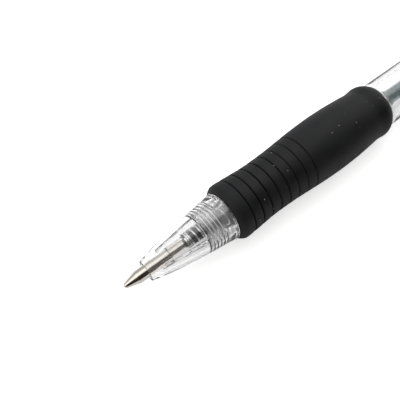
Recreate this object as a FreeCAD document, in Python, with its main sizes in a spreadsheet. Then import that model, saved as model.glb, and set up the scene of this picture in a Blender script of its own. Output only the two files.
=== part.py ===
import FreeCAD, Part

import os
import re

import Sketcher

# A retractable gel pen lying on a desk with its point out. The pen's axis runs along X, with the
# point towards -X and the push button towards +X. Z is up and the desk is z = 0. The origin is on
# the desk, in the middle of the pen's footprint. The clip is rolled down to the desk on the +Y side.
# Each piece is drawn along its own X axis from its front end, with radii as sketch heights.

sizes = {
    # the stack of pieces along the pen
    "point_reach": 4.4,
    "nose_length": 16.6,
    "seam_gap": 0.1,
    "grip_length": 38.6,
    "body_length": 50.2,
    "collar_length": 27.5,
    "button_reach": 5.5,
    # the writing point
    "ball_r": 0.35,
    "ball_gap": 0.02,
    "lip_at": 0.22,
    "lip_r": 0.43,
    "crimp_at": 0.55,
    "crimp_r": 0.56,
    "cone_end_at": 2.3,
    "cone_end_r": 1.02,
    "point_r": 1.15,
    "shank_end_at": 9.1,
    "ink_hole_r": 0.2,
    "ball_spring_bore_r": 0.5,
    "ball_spring_wire_r": 0.06,
    "ball_spring_turns": 8,
    "ball_spring_seat": 0.4,
    "stem_r": 0.8,
    "stem_length": 2.9,
    # the refill
    "holder_inset": 0.05,
    "holder_length": 3.3,
    "holder_plug_length": 1.2,
    "slip_gap": 0.02,
    "tube_r": 1.5,
    "tube_bore_r": 1.15,
    "tube_setback": 3.1,
    "spring_stop_at": 20.8,
    "spring_stop_height": 0.6,
    "spring_stop_width": 1.3,
    "ink_length": 44.4,
    "follower_length": 4.5,
    "tail_plug_length": 3.0,
    "tail_head_length": 1.0,
    "vent_r": 0.3,
    # the return spring
    "wire_r": 0.17,
    "coil_gap": 0.12,
    "end_pitch": 0.37,
    "active_turns": 18,
    # the nose cone
    "nose_front_r": 1.85,
    "nose_edge": 0.35,
    "nose_edge_r": 2.02,
    "nose_rear_r": 4.62,
    "nose_bulge_r": 126.0,
    "nose_hole_r": 1.25,
    "nose_hole_length": 1.2,
    "hole_flare": 1.0,
    "cavity_front_r": 1.75,
    "cavity_rear_r": 3.0,
    "rib_front_at": 3.0,
    "rib_rear_length": 3.4,
    "rib_gap": 0.3,
    "coil_room": 0.14,
    "rib_width": 0.7,
    "rib_root": 0.3,
    "rib_round": 0.4,
    "rib_roll": 56.5,
    # the screw joint between nose cone and barrel
    "spigot_length": 5.0,
    "thread_length": 3.1,
    "thread_pitch": 0.7,
    "thread_root_r": 3.15,
    "thread_crest_r": 3.45,
    "thread_root_width": 0.42,
    "thread_crest_width": 0.2,
    "thread_gap": 0.1,
    "pilot_r": 3.6,
    "pilot_gap": 0.05,
    # the barrel
    "spigot_bore_r": 2.4,
    "grip_bore_r": 4.15,
    "front_bore_r": 3.0,
    "barrel_r": 4.7,
    "barrel_bore_r": 3.7,
    "step_length": 1.2,
    "barrel_in_collar": 8.5,
    # the grip's outline, from its front end
    "grip_nose_r": 4.55,
    "grip_round": 1.25,
    "grip_front_r": 5.5,
    "waist_at": 9.1,
    "waist_r": 5.14,
    "waist_curve_r": 83.0,
    "swell_at": 16.4,
    "bulge_setback": 13.4,
    "bulge_r": 5.85,
    "neck_setback": 4.5,
    "neck_length": 1.9,
    "neck_r": 5.36,
    "neck_curve_r": 4.0,
    "bead_curve_r": 3.0,
    "grip_tail_r": 4.55,
    "groove_at": 2.83,
    "groove_pitch": 2.11,
    "groove_width": 0.3,
    "groove_depth": 0.32,
    # the knock mechanism
    "sleeve_length": 14.3,
    "sleeve_r": 4.18,
    "sleeve_bore_r": 3.45,
    "guide_r": 2.75,
    "guide_width": 1.2,
    "guide_length": 7.7,
    "cam_slope": 2.15,
    "latch_gap": 0.3,
    "rotor_cup_r": 2.3,
    "rotor_core_r": 2.5,
    "rotor_gap": 0.12,
    "root_overlap": 0.4,
    "cup_depth": 3.6,
    "spline_r": 3.3,
    "spline_length": 1.4,
    "spline_behind_tail": 2.6,
    "crown_length": 3.0,
    "tooth_depth": 0.5,
    "tooth_width": 1.7,
    "crown_gap": 0.7,
    "key_length": 3.3,
    "key_setback": 0.4,
    "plunger_core_length": 5.2,
    "plunger_stem_r": 1.58,
    "plunger_stem_length": 9.6,
    "button_r": 2.8,
    "button_wall": 1.2,
    "button_length": 12.8,
    "button_roof": 3.5,
    "button_flat_r": 1.9,
    # the collar and the clip
    "collar_chamfer": 0.4,
    "collar_hole_gap": 0.15,
    "collar_end_wall": 4.5,
    "collar_wall": 1.15,
    "collar_tail_drop": 1.25,
    "collar_tail_round": 1.6,
    "boss_length": 5.0,
    "boss_round": 1.2,
    "boss_overlap": 0.4,
    "clip_rise": 2.35,
    "clip_width": 4.6,
    "clip_thickness": 1.3,
    "clip_length": 40.0,
    "clip_gap": 0.1,
    "bead_gap": 0.15,
    "clip_bead_at": 3.6,
    "clip_bead_r": 1.3,
}

doc = FreeCAD.newDocument("gel_pen")
sheet = doc.addObject("Spreadsheet::Sheet", "Sizes")
for row, (alias, value) in enumerate(sizes.items(), start=1):
    sheet.set(f"A{row}", str(value))
    sheet.setAlias(f"A{row}", alias)
doc.recompute()

# where things stand along the pen, measured from the writing ball's front, and what follows from it
stations = {
    "nose_end": "point_reach + nose_length",
    "barrel_at": "nose_end - spigot_length",
    "grip_at": "nose_end + seam_gap",
    "grip_end": "grip_at + grip_length + seam_gap",
    "collar_at": "grip_end + body_length",
    "collar_end": "collar_at + collar_length",
    "overall": "collar_end + button_reach",
    "barrel_end": "collar_at + barrel_in_collar",
    "tube_at": "shank_end_at + holder_length",
    "tube_end": "barrel_end - tube_setback",
    "tail_end": "tube_end + tail_head_length",
    "rotor_at": "tail_end + rotor_gap - cup_depth",
    "spline_at": "tail_end + spline_behind_tail",
    "guide_at": "spline_at + spline_length + latch_gap",
    "crown_at": "spline_at + spline_length + crown_length",
    "plunger_at": "crown_at + crown_gap",
    "sleeve_at": "barrel_end + seam_gap",
    "button_at": "overall - button_length",
    "boss_at": "collar_end - boss_length",
    "clip_at": "boss_at - clip_gap - clip_length",
    "bulge_at": "grip_length - bulge_setback",
    "neck_at": "grip_length - neck_setback",
    "rib_rear_at": "nose_length - spigot_length - rib_gap",
    "rib_step_at": "rib_rear_at - rib_rear_length",
    "holder_r": "tube_r - holder_inset",
    "rib_front_r": "tube_r + coil_gap",
    "rib_rear_r": "rib_front_r + wire_r * 2 + coil_room",
    "coil_r": "rib_front_r + wire_r",
    "spring_at": "point_reach + rib_step_at",
    "collar_r": "barrel_r + collar_wall",
    "collar_tail_r": "collar_r - collar_tail_drop",
    "axis_height": "max(bulge_r; collar_r)",
    "clip_height": "collar_r + clip_rise",
    "corner_r": "sqrt(clip_height ^ 2 + clip_width ^ 2 / 4)",
}
plan = doc.addObject("App::VarSet", "Stations")
home = {alias: f"Sizes.{alias}" for alias in sizes}
home.update({name: f"Stations.{name}" for name in stations})


def bound(text):
    """The expression with each size's or station's name written out in full."""
    return re.sub(r"[a-z][a-z_]*", lambda word: home.get(word.group(), word.group()), text)


def number(text):
    """The expression's present value."""
    value = sheet.evalExpression(bound(text))
    return float(getattr(value, "Value", value))


for name, text in stations.items():
    plan.addProperty("App::PropertyFloat", name)
    plan.setExpression(name, bound(text))
    doc.recompute()

# The pen rests on the grip's bulge, on the collar, and on the clip's outer corner beside them.
clip_dip = "(asin(axis_height / corner_r) - atan(clip_width / 2 / clip_height))"
clip_reach = f"corner_r * cos({clip_dip} - atan(clip_width / 2 / clip_height))"
clip_roll = f"-90 deg - {clip_dip}"
pieces = []


def new_piece(label, station, roll="0 deg"):
    """A body lying along the pen's axis with its front end at a station, turned about the axis."""
    body = doc.addObject("PartDesign::Body", label)
    body.Label = label
    turn = FreeCAD.Rotation(FreeCAD.Vector(1, 0, 0), number(roll))
    body.Placement = FreeCAD.Placement(FreeCAD.Vector(0, 0, 0), turn)
    if roll != "0 deg":
        body.setExpression("Placement.Rotation.Angle", bound(roll))
    body.setExpression("Placement.Base.x", bound(f"{station} - overall / 2"))
    body.setExpression("Placement.Base.y", bound(f"(axis_height - {clip_reach}) / 2"))
    body.setExpression("Placement.Base.z", bound("axis_height"))
    pieces.append(body)
    return body


def arc_between(start, end, radius, side):
    """The short arc from start to end with its centre to the left or right, as Sketcher holds it."""
    chord = end - start
    middle = (start + end) * 0.5
    left = FreeCAD.Vector(-chord.y, chord.x, 0).normalize()
    reach = (radius**2 - (chord.Length / 2) ** 2) ** 0.5
    centre = middle + left * (reach if side == "left" else -reach)
    circle = Part.Circle(centre, FreeCAD.Vector(0, 0, 1), radius)
    first, last = (start, end) if side == "left" else (end, start)
    return Part.ArcOfCircle(circle, circle.parameter(first), circle.parameter(last))


def hold(sketch, kind, target, text):
    """A distance or radius constraint whose value follows an expression."""
    index = sketch.addConstraint(Sketcher.Constraint(kind, *target, number(text)))
    if text != "0":
        sketch.setExpression(f"Constraints[{index}]", bound(text))


def draw(body, name, loops, plane="XZ_Plane", offset=None):
    """A sketch of closed outlines. A corner is (x, y), or (x, y, radius, side) to leave on an arc."""
    sketch = body.newObject("Sketcher::SketchObject", name)
    support = next(f for f in body.Origin.OriginFeatures if f.Role == plane)
    sketch.AttachmentSupport = (support, [""])
    sketch.MapMode = "FlatFace"
    if offset:
        sketch.setExpression("AttachmentOffset.Base.z", bound(offset))
    for corners in loops:
        spots = [FreeCAD.Vector(number(c[0]), number(c[1]), 0) for c in corners]
        ends = []
        for n, corner in enumerate(corners):
            start, end = spots[n], spots[(n + 1) % len(spots)]
            if len(corner) == 2:
                edge = sketch.addGeometry(Part.LineSegment(start, end))
                ends.append(((edge, 1), (edge, 2)))
            else:
                curve = arc_between(start, end, number(corner[2]), corner[3])
                edge = sketch.addGeometry(curve)
                ends.append(((edge, 1), (edge, 2)) if corner[3] == "left" else ((edge, 2), (edge, 1)))
                hold(sketch, "Radius", (edge,), corner[2])
        for n, corner in enumerate(corners):
            begin, before = ends[n][0], ends[n - 1][1]
            sketch.addConstraint(Sketcher.Constraint("Coincident", *before, *begin))
            hold(sketch, "DistanceX", (-1, 1, *begin), corner[0])
            hold(sketch, "DistanceY", (-1, 1, *begin), corner[1])
    doc.recompute()
    return sketch


def turned(body, name, corners, cut=False):
    """A solid of revolution about the pen's axis, or a cut of one. corners may hold many outlines."""
    loops = corners if isinstance(corners[0], list) else [corners]
    profile = draw(body, f"{name}_outline", loops)
    feature = body.newObject("PartDesign::Groove" if cut else "PartDesign::Revolution", name)
    feature.Profile = profile
    feature.ReferenceAxis = (profile, ["H_Axis"])
    feature.Angle = 360
    doc.recompute()
    return feature


def padded(body, name, corners, length, plane="XZ_Plane", offset=None, cut=False, both=True):
    """A straight pad or pocket of an outline, to both sides of its plane or to one."""
    profile = draw(body, f"{name}_outline", [corners], plane, offset)
    feature = body.newObject("PartDesign::Pocket" if cut else "PartDesign::Pad", name)
    feature.Profile = profile
    if both:
        feature.SideType = "Symmetric"
    feature.setExpression("Length", bound(length))
    doc.recompute()
    return feature


def round_the_axis(body, name, features, count, angle=360):
    """Copies of features round the pen's axis."""
    pattern = body.newObject("PartDesign::PolarPattern", name)
    pattern.Originals = features
    pattern.Axis = (next(f for f in body.Origin.OriginFeatures if f.Role == "X_Axis"), [""])
    pattern.Angle = angle
    pattern.Occurrences = count
    body.Tip = pattern
    doc.recompute()


def helix(body, name, profile, pitch, turns, cut=False):
    """A profile wound forwards about the pen's axis."""
    kind = "PartDesign::SubtractiveHelix" if cut else "PartDesign::AdditiveHelix"
    feature = body.newObject(kind, name)
    feature.Profile = profile
    feature.ReferenceAxis = (profile, ["H_Axis"])
    feature.Mode = "pitch-turns-angle"
    feature.setExpression("Pitch", bound(pitch))
    feature.setExpression("Turns", bound(turns))
    doc.recompute()
    return feature


def wire_section(along, out, radius):
    """A round wire's section as four quarter arcs."""
    return [
        (f"{along} + {radius}", out, radius, "left"),
        (along, f"{out} + {radius}", radius, "left"),
        (f"{along} - {radius}", out, radius, "left"),
        (along, f"{out} - {radius}", radius, "left"),
    ]


def writing_ball():
    body = new_piece("writing_ball", "0")
    turned(body, "ball", [
        ("0", "0", "ball_r", "right"),
        ("ball_r", "ball_r", "ball_r", "right"),
        ("ball_r * 2", "0"),
    ])


def point_housing():
    # a steel cone with its lip spun over the ball, then a straight shank and a thin stem
    body = new_piece("point_housing", "0")
    seat = "(ball_r + ball_gap)"
    lip_mouth = f"sqrt({seat} ^ 2 - (ball_r - lip_at) ^ 2)"
    channel_at = f"ball_r + sqrt({seat} ^ 2 - ink_hole_r ^ 2)"
    turned(body, "housing", [
        ("lip_at", lip_mouth),
        ("lip_at", "lip_r"),
        ("crimp_at", "crimp_r"),
        ("cone_end_at", "cone_end_r"),
        ("cone_end_at + 0.3", "point_r"),
        ("shank_end_at", "point_r"),
        ("shank_end_at", "stem_r"),
        ("shank_end_at + stem_length", "stem_r"),
        ("shank_end_at + stem_length", "ball_spring_bore_r"),
        ("cone_end_at", "ball_spring_bore_r"),
        ("cone_end_at - ball_spring_seat", "ink_hole_r"),
        (channel_at, "ink_hole_r", seat, "left"),
        ("ball_r", seat, seat, "left"),
    ])


def point_spring():
    # a tiny coil in the point's bore, which presses the ball against its lip when the pen is idle
    body = new_piece("point_spring", "cone_end_at")
    coil = "(ball_spring_bore_r - ball_spring_wire_r - slip_gap)"
    start = "ball_spring_wire_r + slip_gap"
    reach = "(shank_end_at + stem_length - cone_end_at - ball_spring_wire_r * 2 - slip_gap * 2)"
    wire = draw(body, "wire", [wire_section(start, coil, "ball_spring_wire_r")])
    helix(body, "coil", wire, f"{reach} / ball_spring_turns", "ball_spring_turns")


def tip_holder():
    body = new_piece("tip_holder", "shank_end_at")
    plug_r = "tube_bore_r - slip_gap"
    turned(body, "holder", [
        ("0", "stem_r"),
        ("0", "holder_r"),
        ("holder_length", "holder_r"),
        ("holder_length", plug_r),
        ("holder_length + holder_plug_length", plug_r),
        ("holder_length + holder_plug_length", "stem_r"),
    ])


def ink_tube():
    body = new_piece("ink_tube", "tube_at")
    length = "(tube_end - tube_at)"
    turned(body, "tube", [
        ("0", "tube_bore_r"),
        ("0", "tube_r"),
        ("spring_stop_at", "tube_r"),
        ("spring_stop_at", "tube_r + spring_stop_height"),
        ("spring_stop_at + spring_stop_width", "tube_r + spring_stop_height"),
        ("spring_stop_at + spring_stop_width", "tube_r"),
        (length, "tube_r"),
        (length, "tube_bore_r"),
    ])


def ink():
    # the ink fills the holder behind the stem and the front of the tube
    body = new_piece("ink", "shank_end_at + stem_length")
    holder_rest = "holder_length + holder_plug_length - stem_length"
    turned(body, "column", [
        ("0", "0"),
        ("0", "stem_r - slip_gap"),
        (holder_rest, "stem_r - slip_gap"),
        (holder_rest, "tube_bore_r - slip_gap"),
        (f"{holder_rest} + ink_length", "tube_bore_r - slip_gap"),
        (f"{holder_rest} + ink_length", "0"),
    ])


def ink_follower():
    body = new_piece("ink_follower", "tube_at + holder_plug_length + ink_length")
    turned(body, "grease", [
        ("0", "0"),
        ("0", "tube_bore_r - slip_gap"),
        ("follower_length", "tube_bore_r - slip_gap"),
        ("follower_length", "0"),
    ])


def refill_tail():
    body = new_piece("refill_tail", "tube_end - tail_plug_length")
    turned(body, "tail", [
        ("0", "vent_r"),
        ("0", "tube_bore_r - slip_gap"),
        ("tail_plug_length", "tube_bore_r - slip_gap"),
        ("tail_plug_length", "tube_r"),
        ("tail_plug_length + tail_head_length", "tube_r"),
        ("tail_plug_length + tail_head_length", "vent_r"),
    ])


def return_spring():
    # two closed coils at each end, and open coils between the cone's rib steps and the tube's stop
    body = new_piece("return_spring", "spring_at")
    space = "(tube_at + spring_stop_at - spring_at)"
    open_length = f"({space} - end_pitch * 4 - wire_r * 2 - slip_gap * 2)"
    front = "wire_r + slip_gap"
    coils = [
        ("front_coils", front, "end_pitch", "2"),
        ("open_coils", f"{front} + end_pitch * 2", f"{open_length} / active_turns", "active_turns"),
        ("rear_coils", f"{front} + end_pitch * 2 + {open_length}", "end_pitch", "2"),
    ]
    for name, start, pitch, turns in coils:
        wire = draw(body, f"{name}_wire", [wire_section(start, "coil_r", "wire_r")])
        helix(body, name, wire, pitch, turns)


def nose_cone():
    # clear, slightly convex, with a plain hole for the point, a conical cavity and a screw thread
    body = new_piece("nose_cone", "point_reach", "rib_roll * 1 deg")
    thread_start = "(nose_length - spigot_length - 0.5)"
    thread_end = "(nose_length - spigot_length + thread_length + 0.1)"
    turned(body, "shell", [
        ("0", "nose_hole_r"),
        ("0", "nose_front_r"),
        ("nose_edge", "nose_edge_r", "nose_bulge_r", "right"),
        ("nose_length", "nose_rear_r"),
        ("nose_length", "pilot_r + pilot_gap"),
        (thread_end, "pilot_r + pilot_gap"),
        (thread_end, "thread_root_r + thread_gap"),
        (thread_start, "thread_root_r + thread_gap"),
        (thread_start, "cavity_rear_r"),
        ("nose_hole_length + hole_flare", "cavity_front_r"),
        ("nose_hole_length", "nose_hole_r"),
    ])
    slope = f"((cavity_rear_r - cavity_front_r) / ({thread_start} - nose_hole_length - hole_flare))"
    wall_front = f"cavity_front_r + rib_root + {slope} * (rib_front_at - nose_hole_length - hole_flare)"
    wall_rear = f"cavity_front_r + rib_root + {slope} * (rib_rear_at - nose_hole_length - hole_flare)"
    rib = padded(body, "rib", [
        ("rib_front_at", "rib_front_r"),
        ("rib_step_at", "rib_front_r"),
        ("rib_step_at", "rib_rear_r"),
        ("rib_rear_at - rib_round", "rib_rear_r", "rib_round", "left"),
        ("rib_rear_at", "rib_rear_r + rib_round"),
        ("rib_rear_at", wall_rear),
        ("rib_front_at", wall_front),
    ], "rib_width")
    round_the_axis(body, "ribs", [rib], 4)
    thread_cut(body, f"{thread_start} - 0.35", f"{thread_end} + 0.3")


def thread_outline(body, centre, low, high, gap):
    """The thread's section, straight-sided, grown by the gap and drawn between two radii."""
    slope = "((thread_root_width - thread_crest_width) / (thread_crest_r - thread_root_r) / 2)"
    half_low = f"(thread_root_width / 2 + {gap} - ({low} - thread_root_r) * {slope})"
    half_high = f"(thread_root_width / 2 + {gap} - ({high} - thread_root_r) * {slope})"
    return draw(body, "thread_outline", [[
        (f"{centre} - {half_low}", low),
        (f"{centre} + {half_low}", low),
        (f"{centre} + {half_high}", high),
        (f"{centre} - {half_high}", high),
    ]])


def thread_cut(body, start, end):
    # the groove starts whole turns ahead of the ridge on the barrel, so the two are in mesh
    ridge_at = "(nose_length - spigot_length + thread_root_width)"
    centre = f"({ridge_at} - thread_pitch)"
    section = thread_outline(
        body, centre, "thread_root_r", "thread_crest_r + thread_gap", "thread_gap")
    helix(body, "thread", section, "thread_pitch", f"({end} - {centre}) / thread_pitch", cut=True)


def barrel():
    # one clear moulding: a threaded spigot, a waisted seat for the grip, and the body behind it
    body = new_piece("barrel", "barrel_at", "rib_roll * 1 deg")
    seat_end = "(spigot_length + grip_end - nose_end)"
    body_end = "(barrel_end - barrel_at)"
    turned(body, "tube", [
        ("0", "spigot_bore_r"),
        ("0", "thread_root_r"),
        ("thread_length + 0.3", "thread_root_r"),
        ("thread_length + 0.3", "pilot_r"),
        ("spigot_length", "pilot_r"),
        ("spigot_length", "grip_bore_r - slip_gap"),
        (seat_end, "grip_bore_r - slip_gap"),
        (seat_end, "barrel_r"),
        (body_end, "barrel_r"),
        (body_end, "barrel_bore_r"),
        (f"{seat_end} + step_length", "barrel_bore_r"),
        (seat_end, "front_bore_r"),
        ("spigot_length + step_length", "front_bore_r"),
        ("spigot_length", "spigot_bore_r"),
    ])
    ridge = thread_outline(body, "thread_root_width", "thread_root_r - 0.1", "thread_crest_r", "0")
    turns = "(thread_length - thread_root_width * 2) / thread_pitch"
    helix(body, "thread", ridge, "thread_pitch", turns)


def grip():
    # soft rubber: a rounded nose, a waist, a bulge, a neck and a rounded bead, with ring grooves
    body = new_piece("grip", "grip_at")
    turned(body, "sleeve", [
        ("0", "grip_bore_r"),
        ("0", "grip_nose_r", "grip_round", "right"),
        ("grip_round", "grip_front_r", "waist_curve_r", "left"),
        ("swell_at", "waist_r + (swell_at - waist_at) ^ 2 / waist_curve_r / 2",
         "(bulge_at - swell_at) ^ 2 / 2 / (bulge_r - waist_r - (swell_at - waist_at) ^ 2"
         " / waist_curve_r / 2)", "right"),
        ("bulge_at", "bulge_r", "(neck_at - bulge_at) ^ 2 / 2 / (bulge_r - neck_r)", "right"),
        ("neck_at", "neck_r", "neck_curve_r", "left"),
        ("neck_at + neck_length", "neck_r + 0.06", "bead_curve_r", "right"),
        ("grip_length", "grip_tail_r"),
        ("grip_length", "grip_bore_r"),
    ])
    grooves = []
    for n in range(8):
        middle = f"(groove_at + groove_pitch * {n})"
        floor = f"waist_r + ({middle} - waist_at) ^ 2 / waist_curve_r / 2 - groove_depth"
        grooves.append([
            (f"{middle} - groove_width / 4", floor),
            (f"{middle} + groove_width / 4", floor),
            (f"{middle} + groove_width / 2", "bulge_r + 0.5"),
            (f"{middle} - groove_width / 2", "bulge_r + 0.5"),
        ])
    turned(body, "ring_grooves", grooves, cut=True)


def end_collar():
    # a sleeve snapped over the barrel's rear end, with a wall that guides the button
    body = new_piece("end_collar", "collar_at", clip_roll)
    chamber = "collar_length - collar_end_wall"
    turned(body, "sleeve", [
        ("0", "barrel_r + slip_gap"),
        ("0", "collar_r - collar_chamfer"),
        ("collar_chamfer", "collar_r"),
        ("collar_length - collar_tail_round", "collar_r", "collar_tail_round", "right"),
        ("collar_length", "collar_tail_r"),
        ("collar_length", "button_r + collar_hole_gap"),
        (chamber, "button_r + collar_hole_gap"),
        (chamber, "sleeve_r + slip_gap"),
        ("barrel_in_collar + seam_gap", "sleeve_r + slip_gap"),
        ("barrel_in_collar + seam_gap", "barrel_r + slip_gap"),
    ])
    padded(body, "clip_boss", [
        ("collar_length - boss_length", "barrel_r + boss_overlap"),
        ("collar_length - boss_length", "clip_height"),
        ("collar_length - boss_round", "clip_height", "boss_round", "right"),
        ("collar_length", "clip_height - boss_round"),
        ("collar_length", "collar_tail_r - 0.5"),
        ("collar_length - collar_tail_round", "collar_tail_r - 0.5"),
    ], "clip_width")


def clip():
    # a straight arm with a round root, a contact bead and a thinned lead-in at its free end
    body = new_piece("clip", "clip_at", clip_roll)
    under = "(clip_height - clip_thickness)"
    bead_low = "(barrel_r + bead_gap)"
    root_at = "(clip_length - clip_thickness / 2)"
    padded(body, "arm", [
        ("0.6", "clip_height"),
        ("0", "clip_height - 0.5"),
        ("0", "clip_height - 0.9"),
        ("clip_bead_at - clip_bead_r", f"{bead_low} + clip_bead_r", "clip_bead_r", "left"),
        ("clip_bead_at", bead_low, "clip_bead_r", "left"),
        ("clip_bead_at + clip_bead_r", f"{bead_low} + clip_bead_r"),
        ("clip_bead_at + clip_bead_r * 2", under),
        (root_at, under, "clip_thickness / 2", "left"),
        ("clip_length", f"{under} + clip_thickness / 2", "clip_thickness / 2", "left"),
        (root_at, "clip_height"),
    ], "clip_width")


def cam_sleeve():
    # four guide ribs inside a plain sleeve; their sloped front ends are what the rotor latches on
    body = new_piece("cam_sleeve", "sleeve_at")
    turned(body, "sleeve", [
        ("0", "sleeve_bore_r"),
        ("0", "sleeve_r"),
        ("sleeve_length", "sleeve_r"),
        ("sleeve_length", "sleeve_bore_r"),
    ])
    front = "(guide_at - sleeve_at)"
    guide = padded(body, "guide", [
        (front, "guide_width / 2"),
        (f"{front} + cam_slope * guide_width", "-guide_width / 2"),
        (f"{front} + guide_length", "-guide_width / 2"),
        (f"{front} + guide_length", "guide_width / 2"),
    ], "sleeve_bore_r - guide_r + 0.2", "XY_Plane", "guide_r", both=False)
    round_the_axis(body, "guides", [guide], 4)


def crown_cuts(body, end, outward):
    """V notches across a cam's end face, which leave a crown of eight teeth."""
    notch = padded(body, "notch", [
        (f"{end} - tooth_depth * {outward}", "0"),
        (f"{end} + 0.1 * {outward}", "tooth_width / 2"),
        (f"{end} + 0.1 * {outward}", "-tooth_width / 2"),
    ], "rotor_core_r * 4", cut=True)
    round_the_axis(body, "notches", [notch], 4, angle=180)


def cam_rotor():
    # a cup over the refill's tail, a core with four sloped splines, and a crown at the rear
    body = new_piece("cam_rotor", "rotor_at")
    core_at = "(spline_at - rotor_at - root_overlap)"
    end = "(crown_at - rotor_at)"
    turned(body, "core", [
        ("0", "tube_r + rotor_gap"),
        ("0", "rotor_cup_r"),
        (core_at, "rotor_cup_r"),
        (core_at, "rotor_core_r"),
        (end, "rotor_core_r"),
        (end, "0"),
        ("cup_depth", "0"),
        ("cup_depth", "tube_r + rotor_gap"),
    ])
    crown_cuts(body, end, 1)
    front = "(spline_at - rotor_at)"
    spline = padded(body, "spline", [
        (front, "guide_width / 2"),
        (front, "-guide_width / 2"),
        (f"{front} + spline_length + cam_slope * guide_width", "-guide_width / 2"),
        (f"{front} + spline_length", "guide_width / 2"),
    ], "spline_r - rotor_core_r + root_overlap", "XY_Plane",
       "rotor_core_r - root_overlap", both=False)
    round_the_axis(body, "splines", [spline], 4)


def plunger():
    # a crown at the front, four keys that run between the sleeve's ribs, and a stem in the button
    body = new_piece("plunger", "plunger_at", "45 deg")
    end = "(plunger_core_length + plunger_stem_length)"
    turned(body, "core", [
        ("0", "0"),
        ("0", "rotor_core_r"),
        ("plunger_core_length", "rotor_core_r"),
        ("plunger_core_length", "plunger_stem_r"),
        (end, "plunger_stem_r"),
        (end, "0"),
    ])
    crown_cuts(body, "0", -1)
    key = padded(body, "key", [
        ("key_setback", "rotor_core_r - root_overlap"),
        ("key_setback", "spline_r"),
        ("key_setback + key_length", "spline_r"),
        ("key_setback + key_length", "rotor_core_r - root_overlap"),
    ], "guide_width")
    round_the_axis(body, "keys", [key], 4)


def push_button():
    body = new_piece("push_button", "button_at")
    rounding = "(button_r - button_flat_r)"
    turned(body, "cap", [
        ("0", "button_r - button_wall"),
        ("0", "button_r"),
        (f"button_length - {rounding}", "button_r", rounding, "right"),
        ("button_length", "button_flat_r"),
        ("button_length", "0"),
        ("button_length - button_roof", "0"),
        ("button_length - button_roof", "button_r - button_wall"),
    ])


makers = [
    writing_ball, point_housing, point_spring, tip_holder, ink_tube, ink, ink_follower, refill_tail,
    return_spring, nose_cone, barrel, grip, end_collar, clip, cam_sleeve, cam_rotor, plunger,
    push_button,
]
for make in makers:
    make()
doc.recompute()

broken = [f"{o.Label} {o.State}" for o in doc.Objects if "Invalid" in o.State or "Error" in o.State]
if broken:
    raise RuntimeError("did not build: " + ", ".join(broken))
os.makedirs("parts", exist_ok=True)
for body in pieces:
    shape = body.Shape
    if shape.isNull() or not shape.isValid() or len(shape.Solids) != 1:
        raise RuntimeError(f"{body.Label} is not one valid solid")
    shape.exportStep(f"parts/{body.Label}.step")
    print(f"{body.Label}: {shape.Volume:.3f} mm3")
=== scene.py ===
import math

import bmesh
import bpy
from mathutils import Matrix, Vector


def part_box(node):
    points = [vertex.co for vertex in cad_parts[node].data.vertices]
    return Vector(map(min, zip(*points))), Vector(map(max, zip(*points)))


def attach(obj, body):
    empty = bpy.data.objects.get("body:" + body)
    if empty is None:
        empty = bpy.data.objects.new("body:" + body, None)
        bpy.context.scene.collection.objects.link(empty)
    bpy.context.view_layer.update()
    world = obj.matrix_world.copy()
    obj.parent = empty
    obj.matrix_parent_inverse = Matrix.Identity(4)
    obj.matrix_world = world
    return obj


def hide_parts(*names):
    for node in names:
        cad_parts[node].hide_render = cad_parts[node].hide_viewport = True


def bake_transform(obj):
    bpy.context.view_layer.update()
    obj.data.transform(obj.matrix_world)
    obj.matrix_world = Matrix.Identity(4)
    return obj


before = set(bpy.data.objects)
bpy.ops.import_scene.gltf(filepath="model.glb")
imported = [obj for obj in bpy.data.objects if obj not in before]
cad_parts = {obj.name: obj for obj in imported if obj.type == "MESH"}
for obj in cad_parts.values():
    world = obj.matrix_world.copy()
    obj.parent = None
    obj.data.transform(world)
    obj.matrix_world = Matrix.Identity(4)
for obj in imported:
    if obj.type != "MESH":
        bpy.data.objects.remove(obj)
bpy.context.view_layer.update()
mm = 0.001
# vertices nearer than this are one
mergeWithin = 0.0008 * mm

# the pen's axis runs along X, and every outline below is (along, out) in mm from the ball's front
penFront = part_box("writing_ball")[0].x
tubeLow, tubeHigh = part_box("ink_tube")
penY = (tubeLow.y + tubeHigh.y) / 2
penZ = (tubeLow.z + tubeHigh.z) / 2


def alongAt(node, side=0):
    # how far a CAD node's front (0) or rear (1) end is from the ball's front, in mm
    return (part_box(node)[side].x - penFront) / mm


def radiusOf(node):
    low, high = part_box(node)
    return (high.z - low.z) / 2 / mm


noseAt, noseEnd = alongAt("nose_cone"), alongAt("nose_cone", 1)
gripAt, gripEnd = alongAt("grip"), alongAt("grip", 1)
barrelAt, barrelEnd = alongAt("barrel"), alongAt("barrel", 1)
collarAt, collarEnd = alongAt("end_collar"), alongAt("end_collar", 1)
barrelRadius = radiusOf("barrel")
# the pen lies on its collar
collarRadius = penZ / mm


# ---- mesh helpers
def finishMesh(bm, name, creaseAngle=32):
    # clean normals, mark the sharp edges, move onto the pen's axis and make the object
    bmesh.ops.remove_doubles(bm, verts=bm.verts, dist=mergeWithin)
    bmesh.ops.recalc_face_normals(bm, faces=bm.faces)
    for face in bm.faces:
        face.smooth = True
    for edge in bm.edges:
        if len(edge.link_faces) == 2 and edge.calc_face_angle(0) > math.radians(creaseAngle):
            edge.smooth = False
    bmesh.ops.translate(bm, verts=bm.verts, vec=(penFront, penY, penZ))
    mesh = bpy.data.meshes.new(name)
    bm.to_mesh(mesh)
    bm.free()
    piece = bpy.data.objects.new(name, mesh)
    bpy.context.scene.collection.objects.link(piece)
    return piece


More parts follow.
